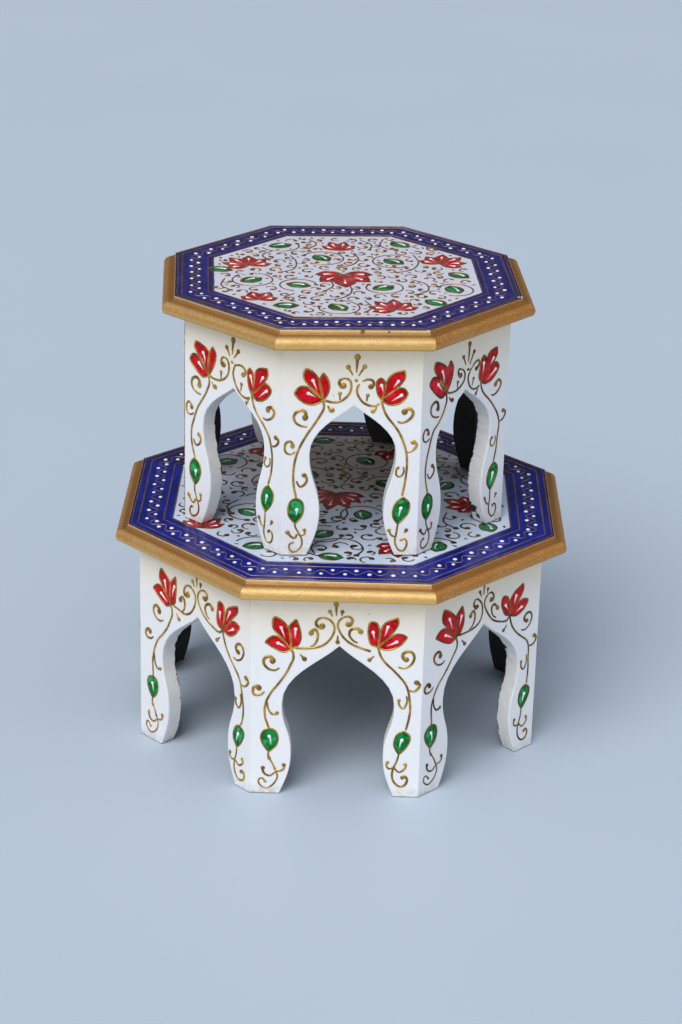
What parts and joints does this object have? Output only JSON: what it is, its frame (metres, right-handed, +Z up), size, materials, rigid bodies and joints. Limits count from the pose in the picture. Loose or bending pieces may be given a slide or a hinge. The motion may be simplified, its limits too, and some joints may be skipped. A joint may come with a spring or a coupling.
{
  "type": "bajot low table",
  "caption": "Nesting pair of octagonal painted wooden low tables on arched mitred side panels, the small one standing loose on the large one.",
  "frame": {"origin": "on the floor under the middle of the large table", "axes": "+Z up, -Y out of the large table's front panel, +X to the right as seen from the front"},
  "size_m": [0.254, 0.254, 0.267],
  "materials": {
    "board_paint": "glossy ultramarine paint on wood, with a white field and a gold painted edge",
    "panel_paint": "glossy white paint on wood, black on the inner faces",
    "pin_steel": "bright drawn wire",
    "edge_gold": "satin gold paint on the routed edge",
    "relief_gold": "raised cone-work line of bronze gold paint",
    "enamel_red": "glossy transparent red enamel paint",
    "enamel_green": "glossy transparent green enamel paint",
    "dot_white": "glossy raised white paint"
  },
  "bodies": {
    "large_table": {"large_top_board": "board_paint", "large_front_panel": "panel_paint", "large_front_right_panel": "panel_paint", "large_right_panel": "panel_paint", "large_back_right_panel": "panel_paint", "large_back_panel": "panel_paint", "large_back_left_panel": "panel_paint", "large_left_panel": "panel_paint", "large_front_left_panel": "panel_paint", "large_front_pin": "pin_steel", "large_front_right_pin": "pin_steel", "large_right_pin": "pin_steel", "large_back_right_pin": "pin_steel", "large_back_pin": "pin_steel", "large_back_left_pin": "pin_steel", "large_left_pin": "pin_steel", "large_front_left_pin": "pin_steel"},
    "small_table": {"small_top_board": "board_paint", "small_front_panel": "panel_paint", "small_front_right_panel": "panel_paint", "small_right_panel": "panel_paint", "small_back_right_panel": "panel_paint", "small_back_panel": "panel_paint", "small_back_left_panel": "panel_paint", "small_left_panel": "panel_paint", "small_front_left_panel": "panel_paint", "small_front_pin": "pin_steel", "small_front_right_pin": "pin_steel", "small_right_pin": "pin_steel", "small_back_right_pin": "pin_steel", "small_back_pin": "pin_steel", "small_back_left_pin": "pin_steel", "small_left_pin": "pin_steel", "small_front_left_pin": "pin_steel"}
  },
  "joints": [
    {"name": "small_table_lift", "type": "slide", "parent": "large_table", "child": "small_table", "axis": [0, 0, 1], "range_m": [0, 0.1]}
  ]
}
